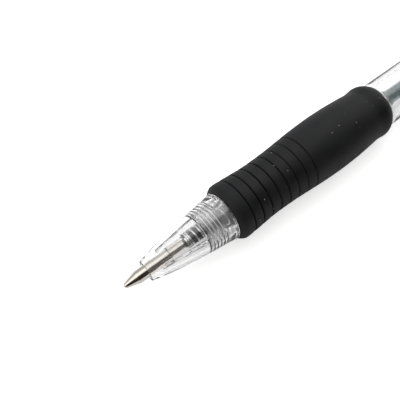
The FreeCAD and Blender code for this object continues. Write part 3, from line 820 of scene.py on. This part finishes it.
def collar():
    s = collarSize
    inner = barrelRadius + s["play"]
    sleeve = lathe("end_sleeve", [
        (collarAt, inner),
        (collarAt, collarRadius, s["frontRound"]),
        (collarEnd, collarRadius, s["rearRound"]),
        (collarEnd, s["bore"], 0.2),
        (collarEnd - s["boreLength"], s["bore"]),
        (collarEnd - s["boreLength"], s["shoulder"]),
        (barrelEnd + 0.1, s["shoulder"]),
        (barrelEnd + 0.1, inner),
    ], steps=128)
    bossAt = collarEnd - s["bossLength"]
    boss = sidePlate("boss", [
        (bossAt, s["bossFoot"]),
        (bossAt, clipSize["height"], 0.15),
        (collarEnd, clipSize["height"], s["rearRound"]),
        (collarEnd, s["bossInner"], 0.6),
        (collarEnd - s["bossFloor"], s["bossInner"]),
    ])
    dress(creased(joined(sleeve, [boss])), blackPlastic, "barrel", "end_collar")


buttonSize = {"radius": 2.8, "bore": 1.6, "capLength": 3.5, "frontRound": 0.1, "endRound": 0.9}


def button():
    s = buttonSize
    at, end = alongAt("push_button"), alongAt("push_button", 1)
    cap = lathe("click_button", [
        (at, s["bore"]),
        (at, s["radius"], s["frontRound"]),
        (end, s["radius"], s["endRound"]),
        (end, 0),
        (end - s["capLength"], 0),
        (end - s["capLength"], s["bore"]),
    ], closed=False, steps=96)
    dress(cap, blackPlastic, "knock", "push_button")


clip()
collar()
button()
for node in ("cam_sleeve", "cam_rotor", "plunger"):
    dress(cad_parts[node], whitePlastic)
dress(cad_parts["point_spring"], springSteel)
print("rear end made")


# ---- floor, light and camera
# lift and backdrop are how much of the white glow each kind of ray sees
stageLook = {"floor": (0.74, 0.74, 0.74), "floorHalf": 3,
             "lift": {"Is Camera Ray": 0.72, "Is Transmission Ray": 0.5, "Is Glossy Ray": 0.06},
             "backdrop": {"Is Camera Ray": 1, "Is Transmission Ray": 0.07}}
# the room's brightness by direction, from the near side (0) over the ceiling to the far side (1)
roomLook = [(0.34, (0.034, 0.026, 0.022)), (0.445, (1.45, 1.44, 1.41)), (0.71, (1.45, 1.44, 1.41)),
            (0.82, (0.76, 0.76, 0.76)), (0.94, (0.45, 0.45, 0.45))]
lampLook = {"power": 1.5, "size": 0.6, "place": (0.05, 0.38, 0.5)}
# the camera's place is in mm from the ball's front, on the pen's axis
cameraLook = {"lens": 49.5, "sensor": 36, "place": (-11.41, -33.82, 83.99),
              "forward": (0.3207, 0.3978, -0.8596), "right": (0.7785, -0.6276, 0)}


def seenRays(nodes, links, shares):
    # the highest share among the kinds that a ray is, and 0 for the rays that light the pen
    path = nodes.new("ShaderNodeLightPath")
    total = None
    for name, share in shares.items():
        part = nodes.new("ShaderNodeMath")
        part.operation = "MULTIPLY"
        part.inputs[1].default_value = share
        links.new(path.outputs[name], part.inputs[0])
        if total:
            most = nodes.new("ShaderNodeMath")
            most.operation = "MAXIMUM"
            links.new(total, most.inputs[0])
            links.new(part.outputs["Value"], most.inputs[1])
            part = most
        total = part.outputs["Value"]
    return total


def studioFloor():
    bm = bmesh.new()
    bmesh.ops.create_grid(bm, x_segments=1, y_segments=1, size=stageLook["floorHalf"])
    mesh = bpy.data.meshes.new("floor")
    bm.to_mesh(mesh)
    bm.free()
    floor = bpy.data.objects.new("floor", mesh)
    bpy.context.scene.collection.objects.link(floor)
    material, nodes, links, shader = newMaterial("white_paper")
    shader.inputs["Base Color"].default_value = (*stageLook["floor"], 1)
    shader.inputs["Roughness"].default_value = 0.9
    shader.inputs["Specular IOR Level"].default_value = 0.1
    glow = nodes.new("ShaderNodeEmission")
    links.new(seenRays(nodes, links, stageLook["lift"]), glow.inputs["Strength"])
    both = nodes.new("ShaderNodeAddShader")
    links.new(shader.outputs["BSDF"], both.inputs[0])
    links.new(glow.outputs["Emission"], both.inputs[1])
    links.new(both.outputs["Shader"], nodes["Material Output"].inputs["Surface"])
    mesh.materials.append(material)


def studioLight():
    # a bright room on the pen's far side and overhead, and a dark one on the near side
    world = bpy.data.worlds.new("studio")
    bpy.context.scene.world = world
    world.use_nodes = True
    nodes, links = world.node_tree.nodes, world.node_tree.links
    coords = nodes.new("ShaderNodeTexCoord")
    split = nodes.new("ShaderNodeSeparateXYZ")
    links.new(coords.outputs["Generated"], split.inputs["Vector"])
    across = nodes.new("ShaderNodeMapRange")
    across.inputs["From Min"].default_value = -1
    across.inputs["From Max"].default_value = 1
    links.new(split.outputs["Y"], across.inputs["Value"])
    room = ramp(nodes, links, across.outputs["Result"], roomLook)
    seen = seenRays(nodes, links, stageLook["backdrop"])
    backdrop = nodes.new("ShaderNodeMix")
    backdrop.data_type = "RGBA"
    backdrop.inputs["B"].default_value = (1, 1, 1, 1)
    links.new(seen, backdrop.inputs["Factor"])
    links.new(room, backdrop.inputs["A"])
    links.new(backdrop.outputs["Result"], nodes["Background"].inputs["Color"])

    lamp = bpy.data.lights.new("softbox", "AREA")
    lamp.size = lampLook["size"]
    lamp.energy = lampLook["power"]
    light = bpy.data.objects.new("softbox", lamp)
    light.location = lampLook["place"]
    # the lamp lights the pen, and only the room shows in its steel and clear plastic
    light.visible_glossy = False
    light.visible_transmission = False
    light.rotation_euler = (-Vector(light.location)).to_track_quat("-Z", "Y").to_euler()
    bpy.context.scene.collection.objects.link(light)


def camera():
    data = bpy.data.cameras.new("camera")
    data.lens = cameraLook["lens"]
    data.sensor_width = cameraLook["sensor"]
    data.clip_start = 0.005
    view = bpy.data.objects.new("camera", data)
    forward = Vector(cameraLook["forward"]).normalized()
    right = Vector(cameraLook["right"]).normalized()
    up = right.cross(forward)
    spot = Vector((penFront, penY, penZ)) + Vector(cameraLook["place"]) * mm
    view.matrix_world = Matrix((
        (right.x, up.x, -forward.x, spot.x),
        (right.y, up.y, -forward.y, spot.y),
        (right.z, up.z, -forward.z, spot.z),
        (0, 0, 0, 1),
    ))
    bpy.context.scene.collection.objects.link(view)
    bpy.context.scene.camera = view


studioFloor()
studioLight()
camera()
bpy.context.scene.view_settings.view_transform = "Standard"
bpy.context.scene.cycles.max_bounces = 32
bpy.context.scene.cycles.transmission_bounces = 32
